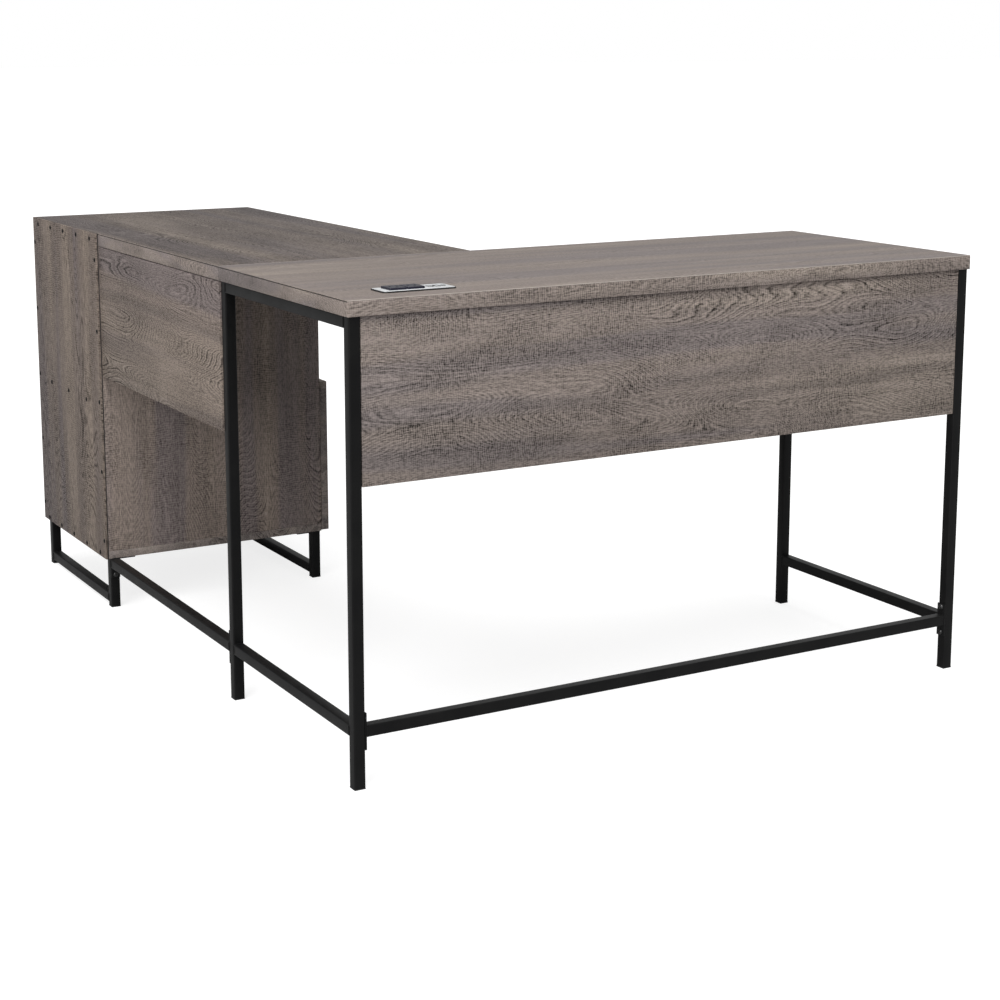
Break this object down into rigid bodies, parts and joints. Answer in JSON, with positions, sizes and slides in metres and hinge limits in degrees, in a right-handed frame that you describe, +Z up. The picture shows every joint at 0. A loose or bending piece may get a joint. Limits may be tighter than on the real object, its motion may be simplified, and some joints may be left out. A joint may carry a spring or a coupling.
{
  "type": "corner desk",
  "caption": "L-shaped corner desk: grey wood-look tops on black steel frames, a return on a pedestal with an open cubby over a file drawer, modesty panels and a surface power unit",
  "frame": {"origin": "centre of the footprint, on the floor", "axes": "+X along the main top away from the corner, +Y along the return away from the main top, +Z up"},
  "size_m": [1.226, 1.55, 0.768],
  "materials": {
    "laminate": "satin",
    "black_steel": "satin",
    "zinc_steel": "satin",
    "white_board": "matte",
    "beech": "matte",
    "black_plastic": "matte",
    "socket_plastic": "matte",
    "grey_plastic": "satin"
  },
  "bodies": {
    "desk": {"main_top": "laminate", "return_top": "laminate", "left_end_frame": "black_steel", "right_end_frame": "black_steel", "post_foot_caps": "black_plastic", "visitor_stretcher": "black_steel", "return_stretcher": "black_steel", "stretcher_bolts": "black_steel", "frame_top_screws": "black_steel", "main_modesty_panel": "laminate", "return_modesty_panel": "laminate", "corner_brackets": "zinc_steel", "bracket_screws": "zinc_steel", "seam_plates": "zinc_steel", "seam_plate_screws": "zinc_steel", "pedestal_near_side": "laminate", "pedestal_far_side": "laminate", "pedestal_bottom": "laminate", "pedestal_shelf": "laminate", "pedestal_back": "laminate", "back_panel_screws": "black_steel", "cam_locks": "zinc_steel", "cam_bolts": "zinc_steel", "wood_dowels": "beech", "rear_sled_leg": "black_steel", "front_sled_leg": "black_steel", "sled_foot_caps": "black_plastic", "sled_screws": "black_steel", "near_cabinet_slide": "zinc_steel", "far_cabinet_slide": "zinc_steel", "cabinet_slide_screws": "zinc_steel", "power_faceplate": "grey_plastic", "power_housing": "black_plastic", "left_ac_socket": "socket_plastic", "right_ac_socket": "socket_plastic", "usb_ports": "black_plastic", "power_clamps": "zinc_steel", "power_cord_gland": "black_plastic"},
    "slide_middles": {"near_middle_slide": "zinc_steel", "far_middle_slide": "zinc_steel"},
    "drawer": {"drawer_front": "laminate", "drawer_box_front": "white_board", "drawer_near_side": "white_board", "drawer_far_side": "white_board", "drawer_back": "white_board", "drawer_bottom": "white_board", "drawer_box_screws": "zinc_steel", "drawer_front_screws": "zinc_steel", "drawer_pull": "black_steel", "pull_screws": "zinc_steel", "file_rails": "zinc_steel", "near_drawer_slide": "zinc_steel", "far_drawer_slide": "zinc_steel", "drawer_slide_screws": "zinc_steel"}
  },
  "joints": [
    {"name": "drawer_slide", "type": "slide", "parent": "desk", "child": "drawer", "axis": [1, 0, 0], "range_m": [0, 0.42]},
    {"name": "middle_slide", "type": "slide", "parent": "desk", "child": "slide_middles", "axis": [1, 0, 0], "range_m": [0, 0.21]}
  ],
  "couplings": [
    {"joint": "middle_slide", "follows": "drawer_slide", "ratio": 0.5}
  ]
}
